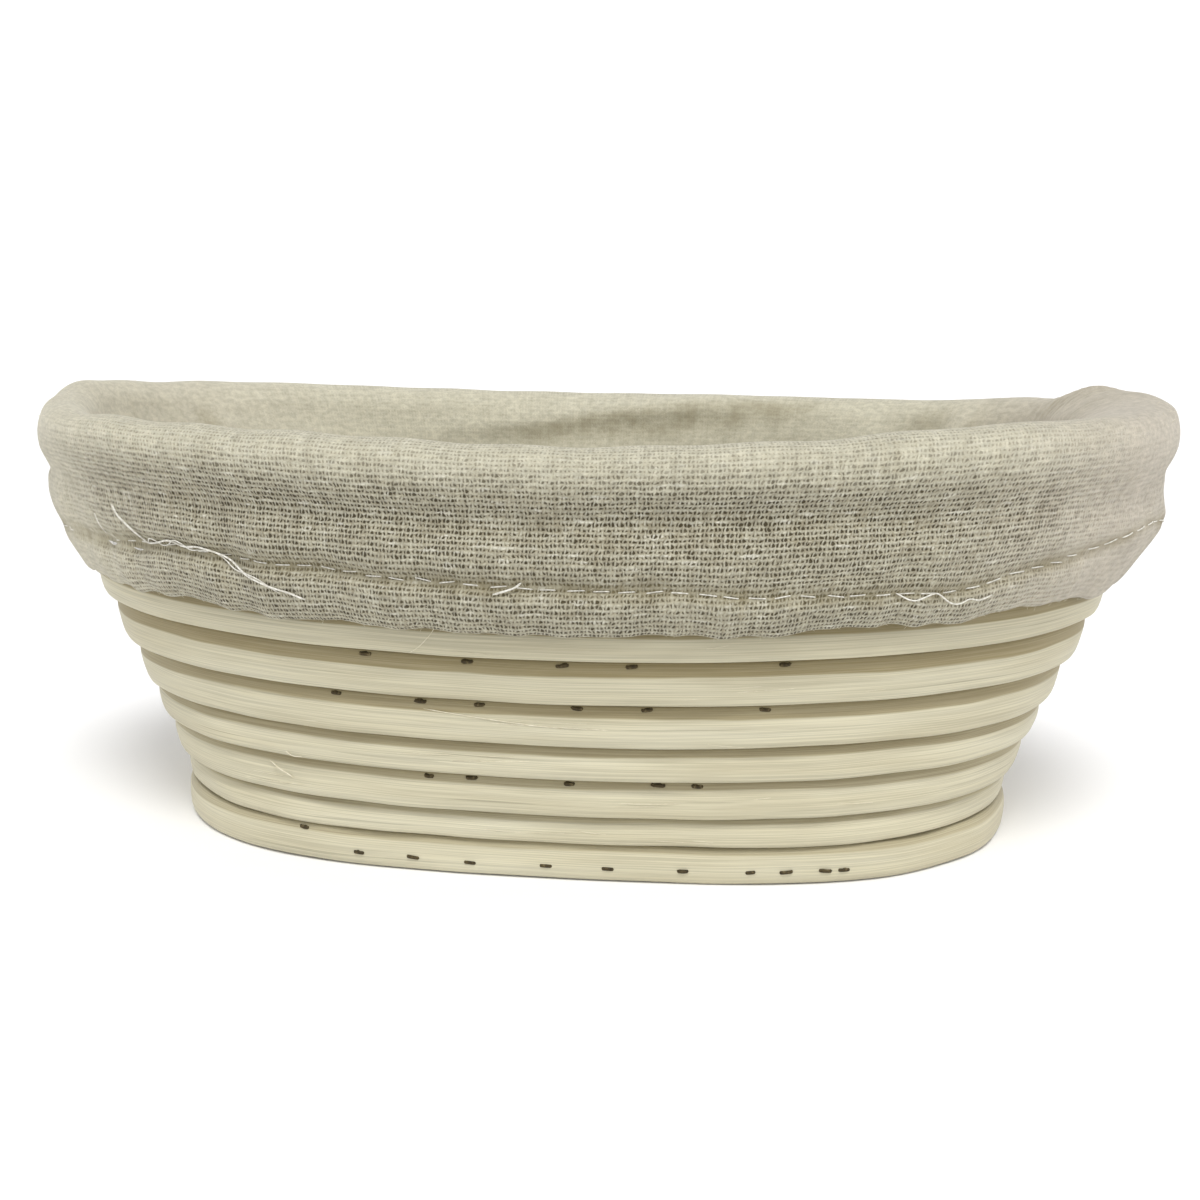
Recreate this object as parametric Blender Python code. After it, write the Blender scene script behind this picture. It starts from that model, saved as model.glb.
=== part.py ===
"""Oval cane proofing basket (banneton) with a loose linen liner.

Units are metres, +Z is up and +X runs along the basket. The origin is the
centre of the underside. The basket is a flat spiral of cane inside a base
ring, with ten level turns of cane stacked and stapled on it, each turn wider
than the one below. The liner is a sewn cloth bowl whose top is turned down
over the rim and held there by an elastic in its hem.

Every outline is parallel to an oval: an ellipse core grown by a radius. It
is drawn by the direction of its normal, so a point's distance outwards from
an outline is exact, and canes that lie side by side keep an even gap.
"""
import math

import bmesh
import bpy

MM = 0.001

# Outer outline of the wall, at the top of the base ring and at the rim.
BASE_RING_HEIGHT = 7.7 * MM
RIM_HEIGHT = 86.7 * MM
BASE_CORE = (40.0 * MM, 5.0 * MM)
BASE_RADIUS = 52.25 * MM
RIM_CORE = (106.6 * MM, 56.2 * MM)
RIM_RADIUS = 20.0 * MM
END_LIFT = 4.6 * MM          # how much higher the rim is at the two ends

# Cane. The turns are of uneven height, in mm from the lowest up.
TURN_HEIGHTS = (6.0, 8.0, 7.2, 8.9, 9.1, 8.0, 8.0, 8.0, 7.9, 7.9)
CANE_THICKNESS = 7.8 * MM
SHINGLE_STEP = 1.2 * MM      # a turn's lower edge stands this far over the turn below
FACE_CROWN = 0.7 * MM        # bulge of a cane's outer face
CORNER = 1.2 * MM            # how far the rounded inner corners are drawn in
GAP = 0.3 * MM               # clearance between pieces that touch
STEPS = 48                   # stations round a closed oval

# Base ring and flat spiral.
RING_CORE = (41.7 * MM, 5.0 * MM)
RING_WIDTH = 8.7 * MM
RING_INSET = 0.6 * MM
RING_EDGE = 1.0 * MM
SPIRAL_TURNS = 5
SPIRAL_INNER_CORE = (36.0 * MM, 1.0 * MM)
SPIRAL_BOTTOM = 0.8 * MM
SPIRAL_TOP = 8.2 * MM
CROSSOVER = math.radians(60)  # where each spiral turn shifts out to the next

# Butt joints of the cane lengths, on the rear side.
REAR_STATION = STEPS // 4
JOINT_STAGGER = (-1, 1, 0, 2)  # stations, taken in turn
JOINT_SLANT = 8.0 * MM
JOINT_HALF_GAP = 0.3 * MM

# Staples: crown length, height and wire thickness.
STAPLE_CROWN = 2.6 * MM
STAPLE_HEIGHT = 1.1 * MM
STAPLE_WIRE = 0.5 * MM
RING_STAPLE_HEIGHT = 2.7 * MM
STAPLE_BELOW_EDGE = 1.0 * MM
# Their places along X on the front side, in mm, by the turn they hold down.
RING_STAPLES = (-40.7, -29.0, -17.0, -1.4, 11.1, 26.1, 39.5, 46.6, 54.4, 58.1)
WALL_STAPLES = {
    0: (-53.2,),
    2: (-25.2, -16.3, 3.6, 21.3, 29.0),
    4: (-44.0, -25.9, -13.8, 5.7, 19.3, 42.1),
    5: (-36.9, -15.8, 3.1, 16.5, 45.8),
}

# Liner. Offsets are distances outwards from the wall's outer outline.
CLOTH = 0.8 * MM
LINER_OFFSET = -(CANE_THICKNESS + 0.35 * MM)
BAND_LEVELS = 6
BAND_FOOT = 0.5 * MM         # side band above the panel's underside
BAND_TOP = 0.5 * MM          # end of its straight part below the rim
BAND_SHOULDER = (1.8 * MM, 1.2 * MM)  # rise of its outer face over the rim's inner edge
BAND_CROWN = (1.6 * MM, 0.3 * MM)     # the same for its inner face, below the crest
CREST_HEIGHT = 89.1 * MM
CREST_SPLIT = -4.0 * MM      # where side band and cuff meet on the rim
PANEL_BOTTOM = SPIRAL_TOP + GAP

# Section of the turned-down cuff in mm: (offset, height), from the crest down the
# outside, round the hem and its turn-up, and back up the inside.
CUFF_SECTION = (
    (-3.85, 89.1), (-0.5, 88.9), (2.2, 86.5), (3.6, 81.5),
    (3.0, 74.6), (5.4, 67.5), (5.2, 60.5), (3.3, 54.5),
    (1.8, 53.3), (0.4, 54.5), (0.4, 63.0), (1.0, 63.0), (1.0, 55.4), (2.5, 55.4),
    (4.4, 60.6), (4.6, 67.3), (2.2, 74.6), (2.8, 81.6),
    (1.4, 86.0), (-0.8, 88.1), (-3.85, 88.3),
)
ELASTIC_OFFSET = 1.3 * MM
ELASTIC_BOTTOM = 56.2 * MM
ELASTIC_WIDTH = 6.0 * MM
ELASTIC_THICKNESS = 0.6 * MM

# Threads.
THREAD_RADIUS = 0.35 * MM
HEM_STITCH = (6.05 * MM, 63.2 * MM)   # offset and height of the stitching
SIDE_SEAM_ABOVE_PANEL = 2.5 * MM
SIDE_SEAM_BELOW_RIM = 3.0 * MM
SIDE_SEAM_STATIONS = 6

COLLECTION = "banneton_basket"

CANE_COLOUR = (0.72, 0.62, 0.42, 1)
LINEN_COLOUR = (0.50, 0.45, 0.35, 1)
THREAD_COLOUR = (0.85, 0.83, 0.78, 1)
ELASTIC_COLOUR = (0.80, 0.80, 0.78, 1)
STEEL_COLOUR = (0.10, 0.08, 0.05, 1)


def clear_scene():
    for old in list(bpy.data.objects):
        bpy.data.objects.remove(old, do_unlink=True)
    collection = bpy.data.collections.new(COLLECTION)
    bpy.context.scene.collection.children.link(collection)
    return collection


def make_material(name, colour, roughness, metallic=0.0):
    material = bpy.data.materials.new(name)
    material.use_nodes = True
    shader = material.node_tree.nodes["Principled BSDF"]
    shader.inputs["Base Color"].default_value = colour
    shader.inputs["Roughness"].default_value = roughness
    shader.inputs["Metallic"].default_value = metallic
    return material


def blend(first, second, share):
    return first + (second - first) * share


def oval_point(core, radius, angle):
    """Point of the outline whose normal points along angle."""
    along = core[0] ** 2 * math.cos(angle)
    across = core[1] ** 2 * math.sin(angle)
    reach = math.hypot(core[0] * math.cos(angle), core[1] * math.sin(angle))
    x = along / reach + radius * math.cos(angle)
    y = across / reach + radius * math.sin(angle)
    return x, y


def wall_outline(height):
    """Core and radius of the wall's outer outline at a height."""
    share = (height - BASE_RING_HEIGHT) / (RIM_HEIGHT - BASE_RING_HEIGHT)
    core = (blend(BASE_CORE[0], RIM_CORE[0], share),
            blend(BASE_CORE[1], RIM_CORE[1], share))
    return core, blend(BASE_RADIUS, RIM_RADIUS, share)


def wall_point(angle, offset, height):
    """Point at a distance outwards from the wall's outer outline."""
    core, radius = wall_outline(height)
    x, y = oval_point(core, radius + offset, angle)
    end_share = (x / (core[0] + radius)) ** 2
    lift = END_LIFT * max(height, 0.0) / RIM_HEIGHT * end_share
    return x, y, height + lift


def ring_point(angle, offset, height):
    """Point beside the base ring, whose sides are upright."""
    x, y = oval_point(RING_CORE, BASE_RADIUS + offset, angle)
    return x, y, height


def turn_bottom(turn):
    """Height at which a turn starts; one above the last gives the rim."""
    return BASE_RING_HEIGHT + sum(TURN_HEIGHTS[:turn - 1]) * MM


def add_solid(name, collection, material, sections, closed):
    """Loft a solid through sections that all have the same number of points."""
    mesh = bpy.data.meshes.new(name)
    shape = bmesh.new()
    loops = [[shape.verts.new(point) for point in section] for section in sections]
    count = len(loops[0])
    pairs = list(zip(loops, loops[1:]))
    if closed:
        pairs.append((loops[-1], loops[0]))
    for first, second in pairs:
        for i in range(count):
            j = (i + 1) % count
            shape.faces.new((first[i], second[i], second[j], first[j]))
    if not closed:
        shape.faces.new(loops[0])
        shape.faces.new(tuple(reversed(loops[-1])))
    bmesh.ops.recalc_face_normals(shape, faces=shape.faces)
    shape.to_mesh(mesh)
    shape.free()
    mesh.materials.append(material)
    solid = bpy.data.objects.new(name, mesh)
    collection.objects.link(solid)
    return solid


def closed_ring(profile, place):
    """Sections of a ring without ends, from a profile of (offset, height)."""
    angles = [2 * math.pi * step / STEPS for step in range(STEPS)]
    return [[place(angle, *point) for point in profile] for angle in angles]


def cut_ring(profile, place, joint):
    """Sections of one cane length that closes on itself in a slanted butt joint.

    The joint lies between station number joint and the next one.
    """
    offsets = [point[0] for point in profile]
    middle = (max(offsets) + min(offsets)) / 2
    width = max(offsets) - min(offsets)
    angles = [2 * math.pi * (joint + step) / STEPS for step in range(STEPS + 1)]
    span = math.dist(place(angles[0], middle, 0.0), place(angles[1], middle, 0.0))

    def joint_section(side):
        section = []
        for offset, height in profile:
            along = side * JOINT_HALF_GAP + (offset - middle) / width * JOINT_SLANT
            before = place(angles[0], offset, height)
            after = place(angles[1], offset, height)
            section.append([blend(u, v, 0.5 + along / span) for u, v in zip(before, after)])
        return section

    stations = [[place(angle, *point) for point in profile] for angle in angles[1:]]
    return [joint_section(1)] + stations + [joint_section(-1)]


def turn_profile(turn):
    """Section of a wall turn as (offset, height), lower outer corner first."""
    low = turn_bottom(turn) + GAP / 2
    high = turn_bottom(turn + 1) - GAP / 2
    middle = (low + high) / 2
    return [(0.0, low),
            (FACE_CROWN - SHINGLE_STEP / 2, middle),
            (-SHINGLE_STEP, high),
            (-CANE_THICKNESS + CORNER, high),
            (-CANE_THICKNESS, middle),
            (-CANE_THICKNESS + CORNER, low)]


def add_wall_turns(collection, material):
    for turn in range(1, len(TURN_HEIGHTS) + 1):
        joint = REAR_STATION + JOINT_STAGGER[turn % len(JOINT_STAGGER)]
        sections = cut_ring(turn_profile(turn), wall_point, joint)
        add_solid(f"wall_turn_{turn:02d}", collection, material, sections, closed=False)


def add_base_ring(collection, material):
    outer = -RING_INSET
    inner = outer - RING_WIDTH
    high = BASE_RING_HEIGHT - GAP / 2
    profile = [(outer - RING_EDGE, 0.0),
               (outer, RING_EDGE),
               (outer, high - RING_EDGE),
               (outer - RING_EDGE, high),
               (inner, high),
               (inner, 0.0)]
    sections = cut_ring(profile, ring_point, REAR_STATION)
    add_solid("base_ring", collection, material, sections, closed=False)


def crossover(angle):
    """How far a spiral turn has shifted out to the next one, from 0 to 1."""
    start = 2 * math.pi - CROSSOVER
    share = max(0.0, (angle - start) / CROSSOVER)
    return share * share * (3 - 2 * share)


def spiral_section(turn, angle):
    """Section of the flat spiral. The last turn tapers off inside the base ring."""
    outer_limit = BASE_RADIUS - RING_INSET - RING_WIDTH - GAP
    core_step = ((RING_CORE[0] - SPIRAL_INNER_CORE[0]) / SPIRAL_TURNS,
                 (RING_CORE[1] - SPIRAL_INNER_CORE[1]) / SPIRAL_TURNS)
    radius_step = outer_limit / SPIRAL_TURNS

    def edge(level, inset, height):
        core = (SPIRAL_INNER_CORE[0] + core_step[0] * level,
                SPIRAL_INNER_CORE[1] + core_step[1] * level)
        x, y = oval_point(core, radius_step * level + inset, angle)
        return x, y, height

    inner = turn + crossover(angle)
    outer = min(inner + 1, SPIRAL_TURNS)
    bevel = min(RING_EDGE, (outer - inner) * radius_step / 4)
    clearance = GAP / 2 if turn or angle else GAP
    middle = (SPIRAL_BOTTOM + SPIRAL_TOP) / 2
    return [edge(outer, -clearance - bevel, SPIRAL_BOTTOM),
            edge(outer, -clearance, middle),
            edge(outer, -clearance - bevel, SPIRAL_TOP),
            edge(inner, clearance + bevel, SPIRAL_TOP),
            edge(inner, clearance, middle),
            edge(inner, clearance + bevel, SPIRAL_BOTTOM)]


def add_base_spiral(collection, material):
    tail_end = 2 * math.pi - CROSSOVER * 0.3
    sections = []
    for turn in range(SPIRAL_TURNS):
        for step in range(STEPS):
            angle = 2 * math.pi * step / STEPS
            if turn < SPIRAL_TURNS - 1 or angle < tail_end:
                sections.append(spiral_section(turn, angle))
    add_solid("base_spiral", collection, material, sections, closed=False)


def angle_at(x_place, offset, height, place):
    """Normal angle of the front point at a place along X."""
    low = -math.pi
    high = 0.0
    for _ in range(40):
        middle = (low + high) / 2
        if place(middle, offset, height)[0] < x_place:
            low = middle
        else:
            high = middle
    return (low + high) / 2


def add_staple(name, collection, material, x_place, offset, height, place):
    angle = angle_at(x_place, offset, height, place)
    bpy.ops.mesh.primitive_cube_add(size=1.0)
    staple = bpy.context.object
    staple.name = name
    staple.data.name = name
    staple.data.transform(
        ((STAPLE_WIRE, 0, 0, 0), (0, STAPLE_CROWN, 0, 0), (0, 0, STAPLE_HEIGHT, 0), (0, 0, 0, 1)))
    staple.location = place(angle, offset, height)
    staple.rotation_euler = (0.0, 0.0, angle)
    staple.data.materials.append(material)
    for owner in list(staple.users_collection):
        owner.objects.unlink(staple)
    collection.objects.link(staple)


def add_staples(collection, material):
    clear = GAP + STAPLE_WIRE / 2
    for i, x_place in enumerate(RING_STAPLES, start=1):
        add_staple(f"ring_staple_{i:02d}", collection, material, x_place * MM,
                   clear - RING_INSET, RING_STAPLE_HEIGHT, ring_point)
    for turn, x_places in WALL_STAPLES.items():
        place = wall_point if turn else ring_point
        inset = SHINGLE_STEP / 2 if turn else RING_INSET
        height = turn_bottom(turn + 1) - STAPLE_BELOW_EDGE
        for i, x_place in enumerate(x_places, start=1):
            add_staple(f"turn_{turn:02d}_staple_{i}", collection, material, x_place * MM,
                       clear - inset, height, place)


def side_band_section():
    outer = LINER_OFFSET
    inner = outer - CLOTH
    edge = CREST_SPLIT - GAP / 2
    foot = PANEL_BOTTOM + BAND_FOOT
    top = RIM_HEIGHT - BAND_TOP
    levels = [blend(foot, top, i / (BAND_LEVELS - 1)) for i in range(BAND_LEVELS)]
    section = [(edge, CREST_HEIGHT),
               (outer + BAND_CROWN[0], CREST_HEIGHT - BAND_CROWN[1])]
    section += [(inner, height) for height in reversed(levels)]
    section += [(outer, height) for height in levels]
    section += [(outer + BAND_SHOULDER[0], RIM_HEIGHT + BAND_SHOULDER[1]),
                (edge, CREST_HEIGHT - CLOTH)]
    return section


def add_liner_cloth(collection, material):
    band = side_band_section()
    add_solid("liner_side_band", collection, material, closed_ring(band, wall_point), closed=True)
    cuff = [(offset * MM, height * MM) for offset, height in CUFF_SECTION]
    add_solid("liner_cuff", collection, material, closed_ring(cuff, wall_point), closed=True)

    panel_edge = LINER_OFFSET - CLOTH - GAP
    outline = [wall_point(2 * math.pi * step / STEPS, panel_edge, PANEL_BOTTOM)[:2]
               for step in range(STEPS)]
    heights = (PANEL_BOTTOM, PANEL_BOTTOM + CLOTH)
    sections = [[(x, y, height) for x, y in outline] for height in heights]
    add_solid("liner_base_panel", collection, material, sections, closed=False)


def add_elastic(collection, material):
    outer = ELASTIC_OFFSET + ELASTIC_THICKNESS
    top = ELASTIC_BOTTOM + ELASTIC_WIDTH
    section = [(ELASTIC_OFFSET, ELASTIC_BOTTOM), (outer, ELASTIC_BOTTOM),
               (outer, top), (ELASTIC_OFFSET, top)]
    add_solid("cuff_elastic", collection, material, closed_ring(section, wall_point), closed=True)


def thread_profile(offset, height):
    return [(offset + THREAD_RADIUS, height),
            (offset, height + THREAD_RADIUS),
            (offset - THREAD_RADIUS, height),
            (offset, height - THREAD_RADIUS)]


def add_threads(collection, material):
    inside = LINER_OFFSET - CLOTH - GAP - THREAD_RADIUS
    panel_top = PANEL_BOTTOM + CLOTH
    for name, offset, height in (
            ("hem_thread", *HEM_STITCH),
            ("base_seam_thread", inside, panel_top + GAP + THREAD_RADIUS)):
        rings = closed_ring(thread_profile(offset, height), wall_point)
        add_solid(name, collection, material, rings, closed=True)

    # The side seam stands upright at the +X end, where the side band's ends meet.
    low = panel_top + SIDE_SEAM_ABOVE_PANEL
    high = RIM_HEIGHT - SIDE_SEAM_BELOW_RIM
    sections = []
    for i in range(SIDE_SEAM_STATIONS):
        x, y, z = wall_point(0.0, inside, blend(low, high, i / (SIDE_SEAM_STATIONS - 1)))
        sections.append([(x + THREAD_RADIUS, y, z), (x, y + THREAD_RADIUS, z),
                         (x - THREAD_RADIUS, y, z), (x, y - THREAD_RADIUS, z)])
    add_solid("side_seam_thread", collection, material, sections, closed=False)


def main():
    collection = clear_scene()
    cane = make_material("rattan_cane", CANE_COLOUR, 0.6)
    linen = make_material("natural_linen", LINEN_COLOUR, 0.9)
    thread = make_material("cotton_thread", THREAD_COLOUR, 0.8)
    elastic = make_material("elastic_tape", ELASTIC_COLOUR, 0.8)
    steel = make_material("staple_steel", STEEL_COLOUR, 0.5, 0.8)
    add_base_spiral(collection, cane)
    add_base_ring(collection, cane)
    add_wall_turns(collection, cane)
    add_staples(collection, steel)
    add_liner_cloth(collection, linen)
    add_elastic(collection, elastic)
    add_threads(collection, thread)


main()
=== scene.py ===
"""Looks of the oval cane proofing basket and its linen liner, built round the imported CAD.

Every piece lies on the same outlines as the CAD solids: ovals parallel to an
ellipse core, which widen from the base ring to the rim and lift a little at
the two ends. A place on the wall is (angle of the outline's normal, distance
outwards from the outline, height). Lengths are in metres.
"""
import math

import bmesh
import bpy
import numpy as np
from mathutils import Matrix, Vector


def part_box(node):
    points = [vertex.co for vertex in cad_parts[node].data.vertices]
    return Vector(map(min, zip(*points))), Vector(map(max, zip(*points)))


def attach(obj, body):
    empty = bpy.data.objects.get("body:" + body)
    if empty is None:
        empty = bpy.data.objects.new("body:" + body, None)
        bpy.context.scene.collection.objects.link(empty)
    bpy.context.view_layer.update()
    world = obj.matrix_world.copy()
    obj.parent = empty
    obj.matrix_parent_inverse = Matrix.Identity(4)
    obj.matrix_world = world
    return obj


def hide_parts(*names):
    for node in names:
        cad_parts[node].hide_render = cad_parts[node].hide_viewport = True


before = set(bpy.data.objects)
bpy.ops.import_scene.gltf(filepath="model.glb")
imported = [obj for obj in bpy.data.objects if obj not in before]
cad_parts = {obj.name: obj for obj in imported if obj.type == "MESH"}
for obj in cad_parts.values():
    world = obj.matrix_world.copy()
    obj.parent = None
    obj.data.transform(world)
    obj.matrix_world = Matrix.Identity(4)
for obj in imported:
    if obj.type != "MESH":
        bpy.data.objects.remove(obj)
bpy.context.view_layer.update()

MM = 0.001
TAU = 2 * math.pi

# ---------------------------------------------------------------- the wall's outlines
GAP = 0.3 * MM
END_LIFT = 4.6 * MM
RING_INSET = 0.6 * MM
END_STEP = 1.3 * MM           # how far a turn's lower edge stands over the turn below
SIDE_STEP = 1.9 * MM
RIM_STEP = 1.2 * MM
RIM_TUCK = 0.9 * MM           # the top turn leans in more at the two ends
END_FLARES = {3: 0.3, 4: 0.8, 5: 1.7, 6: 1.9, 7: 1.2, 8: 0.5}   # mm, for each turn
CANE_THICKNESS = 7.8 * MM
WALL_TURNS = 10
BASE_CORE = (40.0 * MM, 5.0 * MM)
RING_CORE = (41.7 * MM, 5.0 * MM)
RIM_CORE = (106.6 * MM, 56.2 * MM)

ring_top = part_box("base_ring")[1]
rim_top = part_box(f"wall_turn_{WALL_TURNS:02d}")[1]
BASE_RING_HEIGHT = ring_top.z + GAP / 2
RIM_HEIGHT = rim_top.z + GAP / 2 - END_LIFT
BASE_RADIUS = ring_top.x + RING_INSET - RING_CORE[0]
RIM_RADIUS = rim_top.x + RIM_STEP - RIM_CORE[0]
TURN_BOTTOMS = [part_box(f"wall_turn_{turn:02d}")[0].z for turn in range(1, WALL_TURNS + 1)]
TURN_BOTTOMS.append(RIM_HEIGHT + GAP / 2)


def stacked(*parts):
    """Arrays broadcast together and joined along a new last axis."""
    return np.stack(np.broadcast_arrays(*parts), axis=-1)


def running_length(line):
    """Distance along a line of points, at each point."""
    return np.concatenate([[0.0], np.cumsum(np.linalg.norm(np.diff(line, axis=0), axis=1))])


def between(first, last, share):
    """Values part of the way from first to last."""
    return [a + (b - a) * share for a, b in zip(first, last)]


def oval_xy(core, radius, angle):
    """Points of outlines round an ellipse core, whose normals point along angle."""
    cosine = np.cos(angle)
    sine = np.sin(angle)
    reach = np.hypot(core[0] * cosine, core[1] * sine)
    x = core[0] ** 2 * cosine / reach + radius * cosine
    y = core[1] ** 2 * sine / reach + radius * sine
    return x, y


def wall_place(angle, offset, height):
    """Points at a distance outwards from the wall's outer outline, as an array of xyz."""
    share = (height - BASE_RING_HEIGHT) / (RIM_HEIGHT - BASE_RING_HEIGHT)
    core = between(BASE_CORE, RIM_CORE, share)
    radius = BASE_RADIUS + (RIM_RADIUS - BASE_RADIUS) * share
    x, y = oval_xy(core, radius + offset, angle)
    end_share = (x / (core[0] + radius)) ** 2
    return stacked(x, y, height + END_LIFT * np.maximum(height, 0) / RIM_HEIGHT * end_share)


def ring_place(angle, offset, height):
    """The same beside the base ring, whose sides are upright."""
    return stacked(*oval_xy(RING_CORE, BASE_RADIUS + offset, angle), height)


def even_angles(count, height, start=0.0):
    """Normal angles of count stations evenly spaced along the outline at a height."""
    fine = np.linspace(start, start + TAU, 4001)
    along = running_length(wall_place(fine, 0.0, height))
    stations = np.arange(count) / count * along[-1]
    return np.interp(stations, along, fine), along[-1]


# ---------------------------------------------------------------- shared helpers
def ripples(u, count, u_waves, seed, v=0.0, v_waves=(0, 0)):
    """Smooth noise of about unit size. It repeats over u from 0 to 1."""
    rng = np.random.default_rng(seed)
    total = np.zeros(np.broadcast(u, v).shape)
    for _ in range(count):
        along = rng.integers(u_waves[0], u_waves[1] + 1)
        across = rng.uniform(*v_waves) * rng.choice((-1, 1))
        phase = rng.uniform(0, TAU)
        total += np.cos(TAU * (along * u + across * v) + phase)
    return total / math.sqrt(count / 2)


def smooth(value, low, high):
    """0 below low, 1 above high, smooth between them."""
    share = np.clip((value - low) / (high - low), 0, 1)
    return share * share * (3 - 2 * share)


def grid_mesh(name, points, uv, material):
    """Quads over points[row, column]. The columns wrap, so uv[row, column] has one more."""
    rows, columns = points.shape[:2]
    r, c = np.meshgrid(np.arange(rows - 1), np.arange(columns), indexing="ij")
    corners = ((r, c), (r, c + 1), (r + 1, c + 1), (r + 1, c))
    faces = np.stack([a * columns + b % columns for a, b in corners], axis=-1).reshape(-1, 4)
    loops = np.stack([uv[a, b] for a, b in corners], axis=2).reshape(-1, 2)
    mesh = new_mesh(name, points.reshape(-1, 3), faces, material)
    layer = mesh.uv_layers.new(name="UVMap")
    layer.data.foreach_set("uv", loops.astype(np.float32).ravel())
    return mesh


def new_mesh(name, points, faces, material):
    mesh = bpy.data.meshes.new(name)
    mesh.from_pydata(points, [], faces)
    mesh.materials.append(material)
    mesh.shade_smooth()
    return mesh


def linked(name, data):
    """A new object in the scene."""
    piece = bpy.data.objects.new(name, data)
    bpy.context.scene.collection.objects.link(piece)
    return piece


def add_object(name, mesh, body):
    piece = linked(name, mesh)
    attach(piece, body)
    return piece


def float_attribute(mesh, name, values):
    layer = mesh.attributes.new(name, "FLOAT", "POINT")
    layer.data.foreach_set("value", values.astype(np.float32).ravel())


# ---------------------------------------------------------------- materials
class Nodes:
    """Short names for building a material's node tree."""

    def __init__(self, name):
        self.material = bpy.data.materials.new(name)
        self.material.use_nodes = True
        self.tree = self.material.node_tree
        self.shader = self.tree.nodes["Principled BSDF"]

    def add(self, kind, settings=None, **inputs):
        node = self.tree.nodes.new(kind)
        for key, value in (settings or {}).items():
            setattr(node, key, value)
        for key, value in inputs.items():
            self.feed(node.inputs[key.replace("_", " ")], value)
        return node

    def feed(self, socket, value):
        if isinstance(value, bpy.types.NodeSocket):
            self.tree.links.new(value, socket)
        else:
            socket.default_value = value

    def times(self, first, second):
        return self.math("MULTIPLY", first, second)

    def plus(self, first, second):
        return self.math("ADD", first, second)

    def minus(self, first, second):
        return self.math("SUBTRACT", first, second)

    def scaled(self, value, factor, addend):
        return self.math("MULTIPLY_ADD", value, factor, addend)

    def math(self, operation, first, second=0.0, third=None):
        node = self.tree.nodes.new("ShaderNodeMath")
        node.operation = operation
        self.feed(node.inputs[0], first)
        self.feed(node.inputs[1], second)
        if third is not None:
            self.feed(node.inputs[2], third)
        return node.outputs[0]

    def ramp(self, value, stops):
        node = self.tree.nodes.new("ShaderNodeValToRGB")
        elements = node.color_ramp.elements
        while len(elements) < len(stops):
            elements.new(0.5)
        for element, (place, colour) in zip(elements, stops):
            element.position = place
            element.color = (*colour, 1)
        self.feed(node.inputs[0], value)
        return node.outputs[0]

    def span(self, value, low, high, to_low=0.0, to_high=1.0):
        node = self.tree.nodes.new("ShaderNodeMapRange")
        node.interpolation_type = "SMOOTHSTEP"
        for socket, number in zip(node.inputs[:5], (value, low, high, to_low, to_high)):
            self.feed(socket, number)
        return node.outputs[0]

    def mix(self, share, first, second, mode="MIX"):
        node = self.tree.nodes.new("ShaderNodeMix")
        node.data_type = "RGBA"
        node.blend_type = mode
        self.feed(node.inputs[0], share)
        self.feed(node.inputs[6], first)
        self.feed(node.inputs[7], second)
        return node.outputs[2]

    def tint(self, colour, share):
        return self.mix(1.0, colour, share, "MULTIPLY")

    def noise(self, vector, scale, detail, roughness):
        return self.add("ShaderNodeTexNoise", None, Vector=vector, Scale=scale, Detail=detail,
                        Roughness=roughness).outputs[0]

    def grain(self, x, y, detail=2.0, roughness=0.6):
        """Noise with x and y cells for each unit of UV."""
        uv = self.add("ShaderNodeUVMap", {"uv_map": "UVMap"}).outputs[0]
        place = self.add("ShaderNodeMapping", None, Vector=uv, Scale=(x, y, 1)).outputs[0]
        return self.noise(place, 1.0, detail, roughness)

    def flecks(self, scale, detail=2.0, roughness=0.6):
        """Noise with scale cells for each metre."""
        place = self.add("ShaderNodeTexCoord").outputs["Object"]
        return self.noise(place, scale, detail, roughness)

    def bump(self, height, distance, strength):
        return self.add("ShaderNodeBump", None, Height=height, Distance=distance,
                        Strength=strength).outputs[0]

    def attribute(self, name):
        return self.add("ShaderNodeAttribute", {"attribute_name": name}).outputs["Fac"]

    def set(self, **inputs):
        """Values or links for the sockets of the surface shader."""
        for key, value in inputs.items():
            self.feed(self.shader.inputs[key.replace("_", " ")], value)
        return self.material


def cane_material():
    """Peeled cane. Its UV runs in metres: along the cane, then round its section."""
    n = Nodes("rattan_cane")
    streaks = n.grain(26, 4200)
    fine = n.grain(50, 8000)
    broad = n.grain(16, 150, 3.0, 0.55)
    splits = n.grain(15, 1300, 1.0, 0.4)
    tone = n.ramp(broad, [(0.30, (0.478, 0.438, 0.304)), (0.50, (0.530, 0.495, 0.356)),
                          (0.70, (0.565, 0.535, 0.400))])
    colour = n.tint(tone, n.span(streaks, 0.36, 0.64, 0.84, 1.07))
    split = n.span(splits, 0.285, 0.315, 0.80, 1.0)
    colour = n.tint(colour, split)
    # Painted shade: a warm dark brown is painted under the overhang of the turn above and on the
    # hidden faces, where shade falls.
    edge = n.plus(n.attribute("rise"), n.span(broad, 0.3, 0.7, -0.06, 0.06))
    painted_shade_strength = n.times(n.attribute("painted_shade_strength"), n.span(edge, 0.955, 1.045))
    painted_shade_strength = n.times(painted_shade_strength, n.span(streaks, 0.3, 0.7, 1.0, 0.82))
    colour = n.mix(painted_shade_strength, colour, (0.235, 0.187, 0.082, 1))
    height = n.plus(n.times(streaks, 0.7), n.times(fine, 0.3))
    height = n.plus(height, n.times(split, 0.6))
    normal = n.bump(height, 0.00020, 0.5)
    n.set(Sheen_Weight=0.08, Specular_IOR_Level=0.3)
    return n.set(Base_Color=colour, Roughness=n.span(streaks, 0.3, 0.7, 0.52, 0.68), Normal=normal)


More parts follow.
